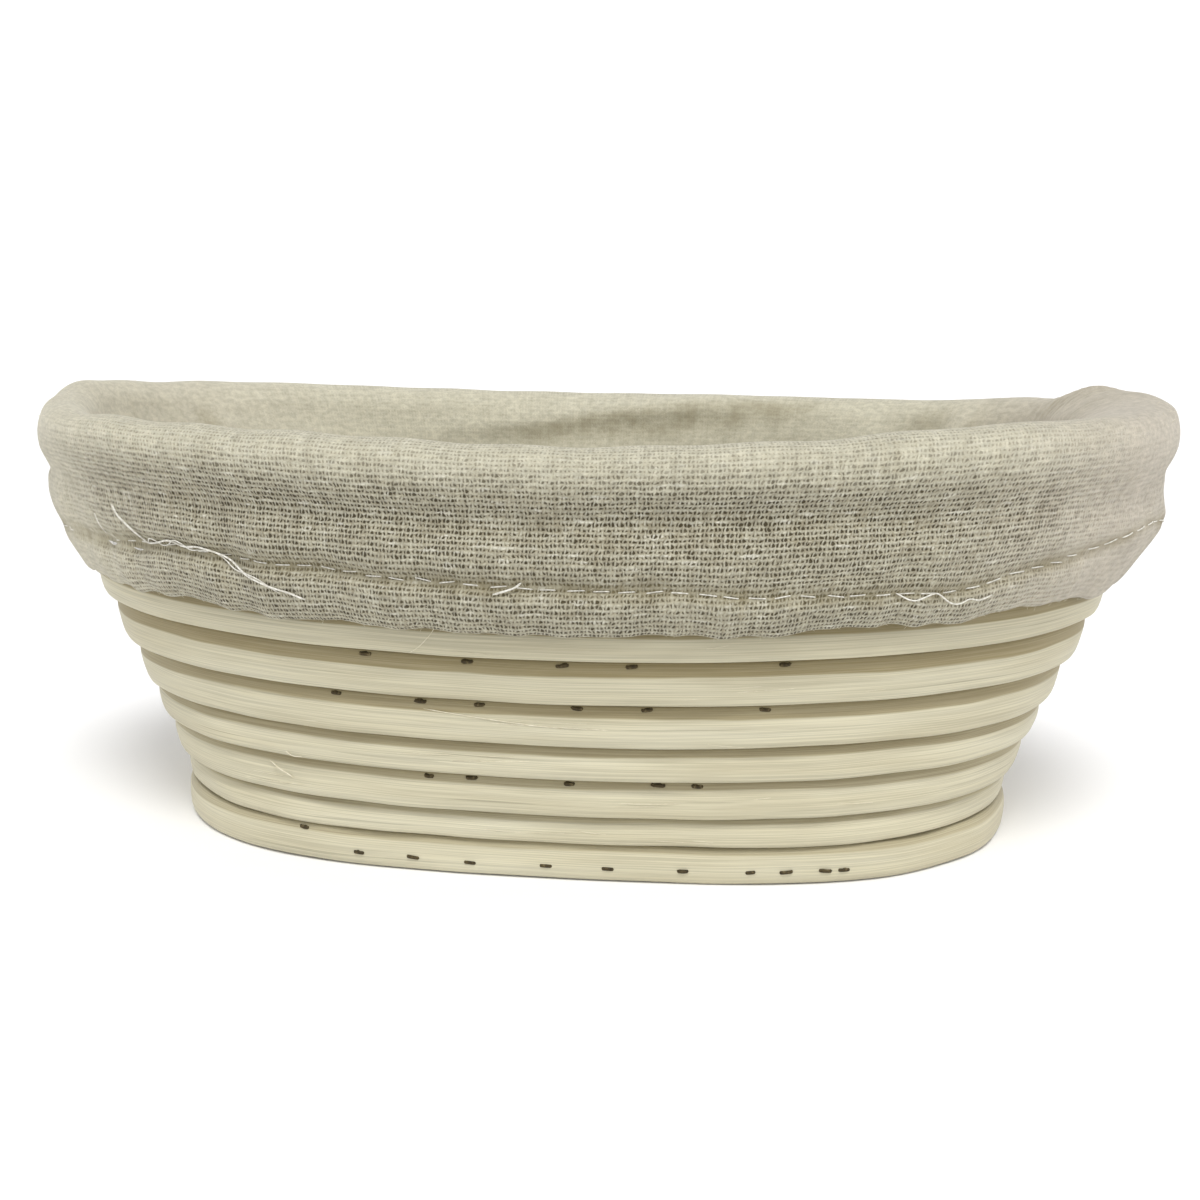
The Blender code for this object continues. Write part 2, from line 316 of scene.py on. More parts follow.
def linen_material():
    """Open plain weave. Its UV counts yarns, whole numbers at the middle of a yarn."""
    n = Nodes("natural_linen")
    uv = n.add("ShaderNodeUVMap", {"uv_map": "UVMap"}).outputs[0]
    warp_at, weft_at, _ = n.add("ShaderNodeSeparateXYZ", None, Vector=uv).outputs
    openness = n.attribute("open_weave")

    def wave(place, waves):
        return n.math("COSINE", n.times(place, TAU * waves))

    def wandering(place, x, y, reach):
        return n.scaled(n.minus(n.grain(x, y, 1.0, 0.5), 0.5), reach, place)

    def between_yarns(place, thickness):
        gap = n.scaled(wave(place, 1), -0.5, 0.5)
        return n.plus(gap, n.span(thickness, 0.3, 0.7, -0.20, 0.16))

    over = n.times(wave(warp_at, 0.5), wave(weft_at, 0.5))
    pairs = n.times(wave(warp_at, 0.5), wave(n.minus(weft_at, 0.5), 0.5))
    warp_line = n.scaled(over, 0.09, wandering(warp_at, 0.31, 0.83, 0.95))
    warp_line = n.scaled(pairs, 0.11, warp_line)
    weft_line = n.scaled(over, 0.10, wandering(weft_at, 0.43, 0.61, 0.45))
    weft_line = wandering(weft_line, 0.13, 0.47, 0.55)
    warp_size = n.grain(0.73, 0.045)
    weft_size = n.grain(0.110, 0.73)
    between_warps = between_yarns(warp_line, warp_size)
    between_wefts = between_yarns(weft_line, weft_size)
    weft_crown = n.times(n.minus(1.0, between_wefts),
                        n.scaled(over, 0.32, 0.70))
    warp_rise = n.scaled(pairs, 0.16, n.scaled(over, -0.32, 0.62))
    warp_crown = n.times(n.minus(1.0, between_warps), warp_rise)
    yarn = n.math("MAXIMUM", weft_crown, warp_crown)

    patchy = n.grain(0.45, 0.55)
    regions = n.grain(0.03, 0.05, 2.0, 0.5)
    hole = n.times(between_warps, between_wefts)
    hole = n.plus(hole, n.span(patchy, 0.3, 0.7, -0.30, 0.20))
    hole = n.plus(hole, n.span(regions, 0.35, 0.65, -0.08, 0.06))
    clumps = n.span(n.grain(0.47, 0.83, 1.0, 0.5), 0.34, 0.66, 0.75, 1.15)
    openness = n.times(openness, clumps)
    hole = n.math("MINIMUM", n.times(n.span(hole, 0.18, 0.70), openness), 1.0)

    weft_tone = n.grain(0.08, 0.83, 1.0, 0.5)
    warp_tone = n.grain(0.83, 0.08, 1.0, 0.5)
    fibre = n.grain(1.8, 7.0, 3.0, 0.65)
    tone = n.plus(n.times(weft_tone, 0.45), n.times(warp_tone, 0.55))
    tone = n.scaled(n.minus(tone, 0.53),
                  n.scaled(openness, 0.75, 0.15), 0.53)
    colour = n.ramp(tone, [(0.36, (0.400, 0.370, 0.272)), (0.53, (0.520, 0.496, 0.384)),
                           (0.68, (0.600, 0.582, 0.470))])
    colour = n.tint(colour, n.span(fibre, 0.3, 0.7, 0.88, 1.08))
    # Painted shade: the yarns are darker where the weave is open.
    colour = n.tint(colour, n.span(openness, 0.25, 0.95, 1.0, 0.88))
    slub = n.grain(0.22, 0.83, 0.0, 0.5)
    slub = n.times(n.span(slub, 0.68, 0.78, 0.0, 0.7), openness)
    colour = n.mix(slub, colour, (0.66, 0.645, 0.55, 1))
    # Painted shade: the grooves between yarns darken towards brown, and the holes through the
    # weave are painted near black, standing in for the shade between and behind the yarns.
    groove = n.times(n.minus(0.92, yarn), openness)
    groove = n.times(groove, n.span(openness, 0.1, 0.7, 0.35, 0.85))
    colour = n.mix(groove, colour, (0.205, 0.172, 0.100, 1))
    colour = n.mix(hole, colour, (0.060, 0.048, 0.024, 1))
    speckle = n.grain(0.41, 0.93)
    colour = n.tint(colour, n.span(speckle, 0.32, 0.68, 0.88, 1.08))
    mottle = n.grain(0.11, 0.13, 3.0)
    colour = n.tint(colour, n.span(mottle, 0.3, 0.7, 0.94, 1.03))
    colour = n.mix(n.attribute("handled"), colour, (0.875, 0.84, 0.885, 1), "MULTIPLY")
    # Real stains and painted shade: this attribute darkens the cloth towards brown.
    stain_and_painted_shade = n.times(n.attribute("stain_and_painted_shade"), n.span(mottle, 0.35, 0.65, 1.3, 0.6))
    colour = n.mix(stain_and_painted_shade, colour, (0.215, 0.182, 0.095, 1))

    height = n.scaled(fibre, 0.25, n.times(yarn, openness))
    height = n.minus(height, n.times(hole, 0.6))
    normal = n.bump(height, 0.00030, 0.7)
    n.set(Sheen_Weight=0.12, Sheen_Roughness=0.6, Specular_IOR_Level=0.2)
    return n.set(Base_Color=colour, Roughness=n.span(fibre, 0.3, 0.7, 0.86, 0.96), Normal=normal)


def thread_material(name, colour, shade):
    n = Nodes(name)
    twist = n.flecks(1500.0)
    mixed = n.mix(n.span(twist, 0.35, 0.65), (*shade, 1), (*colour, 1))
    return n.set(Base_Color=mixed, Roughness=n.span(twist, 0.3, 0.7, 0.7, 0.9),
                 Normal=n.bump(twist, 0.0001, 0.5), Sheen_Weight=0.2)


def staple_material():
    n = Nodes("staple_steel")
    blotch = n.flecks(1400.0, 3.0)
    colour = n.ramp(blotch, [(0.35, (0.030, 0.022, 0.009)), (0.58, (0.075, 0.056, 0.025)),
                             (0.72, (0.19, 0.155, 0.085))])
    return n.set(Base_Color=colour, Roughness=n.span(blotch, 0.3, 0.7, 0.6, 0.9),
                 Normal=n.bump(blotch, 0.0001, 0.4), Specular_IOR_Level=0.25)


def splinter_material():
    n = Nodes("cane_fibre")
    fleck = n.flecks(700.0)
    colour = n.ramp(fleck, [(0.35, (0.60, 0.55, 0.40)), (0.65, (0.74, 0.70, 0.56))])
    return n.set(Base_Color=colour, Roughness=n.span(fleck, 0.3, 0.7, 0.5, 0.7),
                 Normal=n.bump(fleck, 0.0001, 0.4))


def floor_material():
    n = Nodes("floor")
    colour = n.ramp(n.flecks(6.0, 2.0, 0.5), [(0.3, (0.91,) * 3), (0.7, (0.93,) * 3)])
    return n.set(Base_Color=colour, Roughness=0.9, Specular_IOR_Level=0.1)


# ---------------------------------------------------------------- cane
CANE_STATIONS = 420
JOINT_TURNS = (-1, 1, 0, 2)
JOINT_STATION_ANGLE = TAU / 48
REAR_STATION = 12
RING_SEED = 31
RING_WIDTH = 8.7 * MM
JOINT_SLANT = 8.0 * MM
JOINT_HALF_GAP = 0.15 * MM

# Rounded sections as (outward share, height share), outwards from -1 at the inner face to 0
# at the outer one. For a wall turn, also how much of the shingle step a point is drawn in.
TURN_SECTION = np.array([
    (-0.50, 0.0, 0.0), (-0.22, 0.0, 0.0), (-0.030, 0.020, 0.0), (0.000, 0.050, 0.0),
    (0.030, 0.14, 0.05), (0.052, 0.27, 0.20), (0.058, 0.42, 0.36), (0.054, 0.55, 0.50),
    (0.042, 0.65, 0.64), (0.026, 0.745, 0.76), (0.002, 0.85, 0.90), (-0.035, 0.945, 1.0),
    (-0.095, 0.990, 1.0), (-0.25, 0.998, 1.0), (-0.50, 1.0, 0.8), (-0.74, 0.985, 0.3),
    (-0.90, 0.93, 0.0), (-0.975, 0.80, 0.0), (-1.0, 0.62, 0.0), (-1.0, 0.45, 0.0),
    (-0.98, 0.26, 0.0), (-0.92, 0.11, 0.0), (-0.78, 0.02, 0.0)])
RING_SECTION = np.array([
    (-0.50, 0.0), (-0.25, 0.0), (-0.14, 0.0), (-0.07, 0.03), (-0.022, 0.10), (0.0, 0.21),
    (0.012, 0.36), (0.014, 0.52), (0.008, 0.68), (-0.010, 0.82), (-0.045, 0.92), (-0.11, 0.985),
    (-0.25, 1.0), (-0.50, 1.0), (-0.80, 0.99), (-0.93, 0.94), (-0.99, 0.80), (-1.0, 0.50),
    (-0.99, 0.20), (-0.93, 0.05), (-0.85, 0.0), (-0.70, 0.0)])
SPIRAL_SECTION = np.array([
    (0.5, 0.0), (0.78, 0.0), (0.93, 0.06), (1.0, 0.25), (1.0, 0.6), (0.95, 0.86), (0.80, 0.98),
    (0.5, 1.0), (0.20, 0.98), (0.05, 0.86), (0.0, 0.6), (0.0, 0.25), (0.07, 0.06), (0.22, 0.0)])


def sweep_cane(name, place, angles, offset, height, seed, painted_shade, cane):
    """Cane whose section points follow angles[station, point]. Its painted shade has two shares at
    each point.
    """
    stations, count = angles.shape
    u = np.linspace(0, 1, stations)[:, None]
    v = np.arange(count) / count
    waves = ripples(u, 7, (3, 26), seed)
    lifts = ripples(u, 7, (2, 22), seed + 50)
    facets = ripples(u, 9, (2, 40), seed + 90, v, (1, 6))
    offset = offset + waves * 0.09 * MM + facets * 0.035 * MM
    points = place(angles, offset, height + lifts * 0.045 * MM)
    around = running_length(np.vstack([points[0], points[0, :1]]))
    uv = stacked(running_length(points[:, 2])[:, None] + seed * 0.731, around + seed * 0.0517)
    return add_cane(name, points, uv, painted_shade, cane)


def add_cane(name, points, uv, painted_shade, cane):
    """A length of cane with closed ends. Painted shade lies where rise reaches 1, as strong as the
    second share says.
    """
    stations, count = points.shape[:2]
    mesh = grid_mesh(name, points, uv, cane)
    for kind, values in zip(("rise", "painted_shade_strength"), painted_shade.T):
        float_attribute(mesh, kind, np.tile(values, stations))
    fill_rings(mesh, range(count), reversed(range((stations - 1) * count, stations * count)))
    return add_object(name, mesh, "basket")


def fill_rings(mesh, *rings):
    """Adds a face over each ring of point numbers."""
    shape = bmesh.new()
    shape.from_mesh(mesh)
    shape.verts.ensure_lookup_table()
    for ring in rings:
        shape.faces.new([shape.verts[i] for i in ring])
    bmesh.ops.recalc_face_normals(shape, faces=shape.faces)
    shape.to_mesh(mesh)
    shape.free()


def cut_angles(height, shift):
    """Station angles of a cane length whose butt joint is shifted along the rear."""
    joint = (REAR_STATION + shift + 0.5) * JOINT_STATION_ANGLE
    angles, length = even_angles(CANE_STATIONS, height, joint)
    return np.append(angles, angles[0] + TAU), length


def slanted(angles, offsets, length):
    """Angles of each section point, with both ends cut on the same slant."""
    middle = (offsets.max() + offsets.min()) / 2
    width = offsets.max() - offsets.min()
    slant = (offsets - middle) / width * JOINT_SLANT
    stations = np.arange(len(angles)) / (len(angles) - 1)
    ends = np.interp(stations, [0, 1], [JOINT_HALF_GAP, -JOINT_HALF_GAP])
    near_end = np.maximum(1 - stations / 0.03, 1 - (1 - stations) / 0.03).clip(0, 1)
    shift = slant * near_end[:, None] + ends[:, None]
    rate = np.gradient(angles, length / (len(angles) - 1))
    return angles[:, None] + shift * rate[:, None]


def build_turn(turn, cane):
    section = TURN_SECTION
    low = TURN_BOTTOMS[turn - 1] - 0.08 * MM
    tall = TURN_BOTTOMS[turn] - TURN_BOTTOMS[turn - 1] - 0.10 * MM
    height = low + section[:, 1] * tall
    angles, length = cut_angles(low + tall / 2, JOINT_TURNS[turn % len(JOINT_TURNS)])
    step = END_STEP + (SIDE_STEP - END_STEP) * np.sin(angles) ** 2
    if turn == WALL_TURNS:
        step = step + RIM_TUCK * np.cos(angles) ** 2
    offset = section[:, 0] * CANE_THICKNESS
    flare = END_FLARES.get(turn, 0) * MM * np.cos(angles) ** 2 * (1 - 0.25 * np.cos(angles))
    offsets = offset - section[:, 2] * step[:, None] + flare[:, None]
    # Painted shade under the turn above: wider on the higher turns, which lie in the hem's shadow.
    # The rim turn's upper half gets none.
    painted_shade = painted_shade_shares(section, 0.18 + 0.035 * min(turn, 6), 0.40 + 0.10 * min(turn, 5))
    if turn == WALL_TURNS:
        painted_shade[section[:, 1] > 0.5] = 0
    piece = sweep_cane(f"cane_turn_{turn:02d}", wall_place, slanted(angles, offset, length),
                       offsets, height, turn, painted_shade, cane)
    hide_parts(f"wall_turn_{turn:02d}")


def painted_shade_shares(section, width, depth):
    """Painted shade that darkens a cane under the turn above, over a width, and on the hidden
    faces.
    """
    rise = section[:, 1] / (1 - width)
    painted_shade_strength = depth * (section[:, 0] > -0.3) * (section[:, 1] > 0.3)
    hidden = (section[:, 0] < -0.12) * (section[:, 0] > -0.9)
    return np.stack([np.where(hidden, 2, rise), np.maximum(painted_shade_strength, 0.5 * hidden)], axis=1)


def build_base_ring(cane):
    tall = BASE_RING_HEIGHT - 0.05 * MM
    section = RING_SECTION
    offset = section[:, 0] * RING_WIDTH - RING_INSET
    height = section[:, 1] * tall
    angles, length = cut_angles(BASE_RING_HEIGHT, 0)
    # Painted shade on the ring's top under the first turn, and on its hidden faces.
    painted_shade = painted_shade_shares(section, 0.21, 0.5)
    painted_shade[section[:, 1] < 0.5, 1] = 0
    piece = sweep_cane("cane_base_ring", grounded_ring, slanted(angles, offset, length),
                       offset, height, RING_SEED, painted_shade, cane)
    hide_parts("base_ring")


def grounded_ring(angle, offset, height):
    return ring_place(angle, offset, np.maximum(height, 0.0))


SPIRAL_TURNS = 5
SPIRAL_INNER_CORE = (36.0 * MM, 1.0 * MM)
SPIRAL_STATIONS = 220
CROSSOVER = math.radians(60)


def build_spiral(cane):
    """Flat spiral of the base. Each turn shifts out to the next one at the crossover."""
    low, high = (corner.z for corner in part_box("base_spiral"))
    outer_limit = BASE_RADIUS - RING_INSET - RING_WIDTH - GAP
    total = SPIRAL_STATIONS * SPIRAL_TURNS
    turn_at = np.arange(total) / SPIRAL_STATIONS
    turn_at = turn_at[turn_at < SPIRAL_TURNS - CROSSOVER * 0.25 / TAU]
    angle = (turn_at % 1) * TAU
    inner = np.floor(turn_at) + smooth(angle, TAU - CROSSOVER, TAU)
    outer = np.minimum(inner + 1, SPIRAL_TURNS)
    section = SPIRAL_SECTION
    across = section[:, 0]
    level = inner[:, None] + (outer - inner)[:, None] * across
    share = level / SPIRAL_TURNS
    inset = (0.5 - across) * 0.3 * MM
    x, y = oval_xy(between(SPIRAL_INNER_CORE, RING_CORE, share), outer_limit * share + inset,
                   angle[:, None])
    z = low + (high - low) * section[:, 1]
    z = z + ripples(turn_at[:, None] / SPIRAL_TURNS, 6, (5, 60), 77) * 0.05 * MM
    points = stacked(x, y, z)
    around = np.arange(len(section) + 1) * 2.1 * MM
    uv = stacked(running_length(points[:, 4])[:, None], around + 7.0)
    # Painted shade on the spiral's side faces, where its turns lie against each other.
    sides = 0.7 * (np.abs(section[:, 0] - 0.5) > 0.45)
    piece = add_cane("cane_base_spiral", points, uv, stacked(2.0, sides), cane)
    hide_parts("base_spiral")


# ---------------------------------------------------------------- linen liner
WARP_YARNS = 820
WEFT_PITCH = 1.02             # mm
LINER_REFERENCE = 70.0 * MM   # height at which the warp yarns are evenly spaced
INNER_ROWS = 1.35             # mm between rows just inside the rim
SLACK_ROWS = 5.0              # mm between rows where no weave is modelled

# The liner's section as (offset, height) in mm: up behind the elastic, round the
# hem, up the slack cuff, over the rim and down inside to the base seam. The three
# lists have the same landmarks: one for the long sides, one for each end.
SIDE_PATH = (
    (0.95, 62.6), (0.85, 60.0), (0.8, 56.5), (0.95, 54.6), (1.9, 53.5), (3.2, 54.2),
    (4.4, 56.6), (4.9, 59.6), (4.6, 61.8), (4.2, 63.2), (4.2, 64.6), (4.4, 67.2),
    (4.1, 70.2), (3.5, 72.6), (3.1, 74.4), (3.2, 76.3), (3.9, 79.2), (4.4, 82.4),
    (3.8, 85.6), (1.8, 87.9), (-1.0, 89.0), (-3.8, 89.1), (-6.4, 88.2), (-8.1, 86.2),
    (-8.7, 83.2), (-8.8, 60.0), (-8.8, 36.0), (-8.8, 14.0), (-9.1, 10.8), (-10.2, 9.6))
LEFT_PATH = (
    (2.0, 60.6), (2.0, 58.0), (2.1, 54.5), (2.2, 52.6), (2.7, 51.4), (3.6, 52.2),
    (4.3, 54.4), (5.6, 57.6), (6.2, 60.0), (6.2, 61.8), (6.2, 63.4), (6.1, 66.0),
    (5.6, 69.0), (4.8, 71.6), (3.8, 73.7), (3.4, 75.6), (2.9, 78.4), (1.4, 81.8),
    (-0.8, 84.9), (-3.2, 87.3), (-6.4, 88.9), (-9.4, 89.2), (-11.6, 87.9), (-12.4, 85.4),
    (-11.8, 82.2), (-10.2, 60.0), (-9.2, 36.0), (-8.8, 14.0), (-9.1, 10.8), (-10.2, 9.6))
RIGHT_PATH = (
    (1.5, 60.6), (1.5, 58.0), (1.5, 54.5), (1.6, 52.9), (2.2, 51.8), (3.0, 52.6),
    (3.9, 54.6), (4.9, 57.8), (5.7, 60.6), (6.1, 62.4), (6.3, 64.0), (5.9, 66.4),
    (4.6, 69.0), (3.5, 71.6), (3.1, 73.9), (3.0, 75.8), (2.6, 78.8), (1.4, 82.2),
    (-0.5, 85.5), (-2.8, 88.0), (-6.6, 89.3), (-11.0, 89.5), (-15.6, 89.0), (-19.6, 87.2),
    (-21.2, 83.4), (-15.5, 60.0), (-10.6, 36.0), (-8.8, 14.0), (-9.1, 10.8), (-10.2, 9.6))
STITCH = 9
LANDMARKS = (4, STITCH, 14, 21, 24)     # hem, stitching, valley, crest and inside in those lists


def path_point(path, landmark):
    """Catmull-Rom curve through a path, at landmark numbers that need not be whole."""
    control = np.array(path, float)
    control = np.vstack([2 * control[0] - control[1], control, 2 * control[-1] - control[-2]])
    i = np.clip(np.floor(landmark).astype(int), 0, len(path) - 2)
    t = (landmark - i)[..., None]
    a, b, c, d = (control[i + k] for k in range(4))
    return 0.5 * (2 * b + (c - a) * t + (2 * a - 5 * b + 4 * c - d) * t ** 2
                  + (3 * b - a - 3 * c + d) * t ** 3)


FINE_LANDMARKS = np.linspace(0, len(SIDE_PATH) - 1, 2000)
FINE_PLACES = running_length(path_point(SIDE_PATH, FINE_LANDMARKS))
FINE_ANGLES = np.linspace(0, TAU, 4001)


# distances along the side path, in mm
S_HEM, S_STITCH, S_VALLEY, S_CREST, S_INSIDE = (
    float(np.interp(landmark, FINE_LANDMARKS, FINE_PLACES)) for landmark in LANDMARKS)
S_END = FINE_PLACES[-1]
rim_along = running_length(wall_place(FINE_ANGLES, 0.0, LINER_REFERENCE))
FINE_SHARES = rim_along / rim_along[-1]
LINER_GIRTH = rim_along[-1]


def bump_at(value, middle, width):
    return np.exp(-((value - middle) / width) ** 2)


def near_angle(angle, degrees, width):
    """A smooth bump round the angle, 1 at the stated degrees."""
    away = (np.degrees(angle) - degrees + 180) % 360 - 180
    return np.exp(-(away / width) ** 2)


def angle_bumps(angle, *bumps):
    """Sum of bumps round the oval, each of (size, degrees, width)."""
    return sum(size * near_angle(angle, *place) for size, *place in bumps)


def spots(angle, s, *places):
    """Sum of bumps on the cloth, each of (size, degrees, width, place, reach)."""
    return sum(size * near_angle(angle, degrees, width) * bump_at(s, place, reach)
               for size, degrees, width, place, reach in places)


def stitch_place(u, angle):
    """Place of the hem stitching along the path: it wanders, and drops at the right."""
    wander = ripples(u, 5, (2, 7), 31) * 0.35
    return S_STITCH + wander + angle_bumps(angle, (-3.4, -69, 13), (4.6, -25, 15), (1.2, -112, 16))


def cloth_moves(angle, u, s):
    """How far, in mm, the cloth stands off its section: folds, rolls, gathers, puckers."""
    roll = smooth(s, S_VALLEY - 4, S_VALLEY + 5) * (1 - smooth(s, S_CREST + 2, S_INSIDE))
    cuff = smooth(s, S_HEM + 2, S_STITCH) * (1 - smooth(s, S_VALLEY - 2, S_VALLEY + 4))
    low = smooth(s, S_HEM - 6, S_HEM + 2) * (1 - smooth(s, S_STITCH + 3, S_VALLEY))
    inside = smooth(s, S_CREST + 5, S_INSIDE + 8) * (1 - smooth(s, S_END - 26, S_END - 8))
    v = s / 60
    slow = ripples(u, 8, (1, 8), 11, v, (0.1, 0.7))
    pulls = ripples(u, 10, (8, 30), 13, v, (0.3, 1.6))
    gathers = ripples(u, 14, (24, 62), 12, v, (0.0, 0.5))
    creases = 0.5 - np.abs(ripples(u, 10, (14, 40), 15, v, (0.0, 0.6)))
    folds = ripples(u, 7, (2, 9), 14, v, (0.1, 0.7))
    drift = ripples(u, 6, (2, 9), 16)
    front = 1 - 0.6 * smooth(np.sin(angle), -0.2, 0.5)
    moves = roll * front * (slow * 0.40 + pulls * 0.12) + cuff * (slow * 0.45 + pulls * 0.20)
    moves += low * (gathers * 0.22 + creases * 0.30 + slow * 0.20)
    moves -= 0.70 * (1 + 0.4 * drift) * bump_at(s, S_VALLEY + 1.2 * drift, 3.2)
    groove = 1 - 0.75 * smooth(np.abs(np.cos(angle)), 0.50, 0.85)
    moves -= 1.15 * groove * bump_at(s, stitch_place(u, angle), 1.5)
    moves += inside * (0.35 + 0.55 * folds).clip(-0.1, 2.0)
    return moves + rear_folds(angle, s) + end_folds(angle, u, s)


def rear_folds(angle, s):
    """Soft folds on the inside of the rear wall."""
    degrees = np.degrees(angle)
    across = rear_line(degrees)
    reach = smooth(degrees, 77, 86) * (1 - smooth(degrees, 98, 110))
    fold = reach * (1.3 * bump_at(s, across - 2.6, 3.0) - 0.4 * bump_at(s, across + 3, 3.5))
    deep = smooth(s, S_CREST + 4, S_INSIDE + 4) * (1 - smooth(s, S_END - 40, S_END - 15))
    return fold + deep * angle_bumps(angle, (2.4, 59.4, 1.8), (-0.4, 64, 2.5), (1.8, 70, 2.4),
                                     (1.4, 134, 4), (1.2, 146, 3))


def rear_line(degrees):
    """Place of the long slanting fold of the rear wall."""
    return S_CREST + 4.5 + (degrees - 77.5) * 0.40


def rear_shade(angle, s):
    """Share of the shade that lies along the slanting fold."""
    degrees = np.degrees(angle)
    below = s - rear_line(degrees)
    band = 1.2 + 2.0 * near_angle(angle, 87, 9)
    fade = 1 - 0.75 * smooth(below, band - 1, band + 4)
    shade = smooth(below, -band - 0.8, -band + 1.2) * fade
    return shade * smooth(degrees, 73, 79) * (1 - smooth(degrees, 95, 102))


def end_folds(angle, u, s):
    """The bunched cloth at the right end, where the side seam comes over the rim."""
    ribs = np.cos(TAU * u * WARP_YARNS / 4) * 0.30 * spots(angle, s, (1, 34, 10, S_CREST + 1, 5))
    return ribs + spots(angle, s, (1.7, 31, 9, S_CREST + 1, 4.5), (-1.1, 46, 5, S_CREST - 1, 5),
                        (-0.5, -54, 4, S_CREST - 6, 5))


def crest_rise(angle):
    """How far, in mm, the crest stands above its path."""
    return angle_bumps(angle, (0.8, 163, 13), (1.2, 178, 14), (0.4, 36, 10), (1.2, 13, 12),
                       (-1.2, 66, 14), (0.9, -60, 14), (-0.8, -134, 10))


def liner_points(u, s, lift=0.0):
    """Points of the liner at column shares u and places s, raised by lift metres."""
    u, s = np.broadcast_arrays(u, s)
    angle = np.interp(u % 1, FINE_SHARES, FINE_ANGLES)
    landmark = np.interp(s, FINE_PLACES, FINE_LANDMARKS)
    left = smooth(-np.cos(angle), 0.58, 0.98)[..., None]
    right = smooth(np.cos(angle), 0.58, 0.98)[..., None]

    def section(at):
        at = np.clip(at, 0, len(SIDE_PATH) - 1)
        return (path_point(SIDE_PATH, at) * (1 - left - right) + path_point(LEFT_PATH, at) * left
                + path_point(RIGHT_PATH, at) * right)

    middle = section(landmark)
    tangent = section(landmark + 0.06) - section(landmark - 0.06)
    length = np.hypot(tangent[..., 0], tangent[..., 1])
    moves = cloth_moves(angle, u, s) + lift / MM
    offset = middle[..., 0] + tangent[..., 1] / length * moves
    height = middle[..., 1] - tangent[..., 0] / length * moves
    near_hem = 1 - smooth(s, S_HEM + 3, S_STITCH + 12)
    hem_wave = ripples(u, 9, (5, 30), 21) * 0.32 + ripples(u, 5, (1, 5), 22) * 0.35
    height = height + near_hem * hem_wave + crest_rise(angle) * bump_at(s, S_CREST, 12)
    return wall_place(angle, offset * MM, height * MM)


def weave_height(column, row):
    """Height of the woven surface at grid nodes, from -1 in a hole to 1 on a yarn."""
    on_warp = (column % 2 == 0)
    on_weft = (row % 2 == 0)[:, None]
    weft_over = ((column // 2) + (row // 2)[:, None]) % 2 == 0
    crossing = np.where(weft_over, 1.0, 0.8)
    return np.where(on_warp, np.where(on_weft, crossing, 0.35), np.where(on_weft, 0.55, -0.9))


def build_liner(linen):
    """One cloth from the hem's turn-up to the base seam, its yarns modelled on the cuff."""
    half = WEFT_PITCH / 2
    hidden = np.arange(0, S_HEM - 3, 1.6)
    woven = np.arange(round((S_HEM - 2) / half), round((S_CREST + 2) / half)) * half
    inner = np.arange(woven[-1] + INNER_ROWS, S_INSIDE + 8, INNER_ROWS)
    slack = np.arange(inner[-1] + SLACK_ROWS, S_END - 0.5, SLACK_ROWS)
    s = np.concatenate([hidden, woven, inner, slack, [S_END]])
    row = np.round(s / half).astype(int)
    columns = WARP_YARNS * 2
    u = np.arange(columns) / columns
    rows = s[:, None]
    is_woven = ((rows >= woven[0]) & (rows <= woven[-1]))
    angle = np.interp(u, FINE_SHARES, FINE_ANGLES)
    at_ends = smooth(np.abs(np.cos(angle)), 0.32, 0.82)
    relief = is_woven * (1 - smooth(rows, S_CREST - 6, S_CREST + 2)) * (1 - at_ends)
    slubs = 1 + 0.25 * ripples(u, 12, (20, 90), 41, rows / WEFT_PITCH, (0.2, 0.5))
    weave = weave_height(np.arange(columns), row) * relief * slubs * 0.07 * MM
    points = liner_points(u, rows, weave)
    jitter = ripples(u, 10, (60, 240), 43, rows / 3, (0.2, 1.5)) * 0.07
    jitter = np.hstack([jitter, jitter[:, :1]])
    uv = stacked(np.arange(columns + 1) / 2 + jitter, rows / WEFT_PITCH)
    mesh = grid_mesh("liner_cloth", points, uv, linen)
    openness = 0.97 - 0.62 * smooth(rows, S_CREST - 18, S_CREST - 7)
    openness -= 0.27 * smooth(rows, S_CREST - 2, S_CREST + 3)
    openness += 0.20 * bump_at(rows, S_VALLEY - 1, 5)
    openness -= 0.08 * bump_at(rows, S_HEM + 4, 5)
    float_attribute(mesh, "open_weave", openness * (1 - 0.84 * at_ends))
    handled = at_ends * (0.3 + 0.7 * smooth(np.cos(angle), -0.2, 0.6))
    float_attribute(mesh, "handled", np.tile(handled, len(s)))
    # Painted shade in the stitch groove, along the rear wall's slanting fold, beside the inner
    # folds at the right of the rear wall, along the crease and over the crest at the right end,
    # and real stains inside the left end.
    stains_and_painted_shade = (0.46 * bump_at(rows, stitch_place(u, angle), 1.6) + 0.36 * rear_shade(angle, rows)
               + spots(angle, rows, (0.32, 138, 2.4, S_INSIDE + 2, 3.5),
                       (0.14, 146, 2.0, S_INSIDE + 2, 4), (0.16, 164, 1.2, S_CREST + 7, 2),
                       (0.26, 64, 2.2, S_INSIDE + 2, 7), (0.20, 57.2, 1.1, S_INSIDE + 2, 7),
                       (0.50, 40, 1.3, S_CREST + 3.6, 1.4), (0.30, 39, 6, S_CREST + 6, 2.2),
                       (0.16, 22, 24, S_CREST + 2, 7)))
    float_attribute(mesh, "stain_and_painted_shade", stains_and_painted_shade)
    piece = add_object("liner_cloth", mesh, "liner")
    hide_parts("liner_side_band", "liner_cuff")


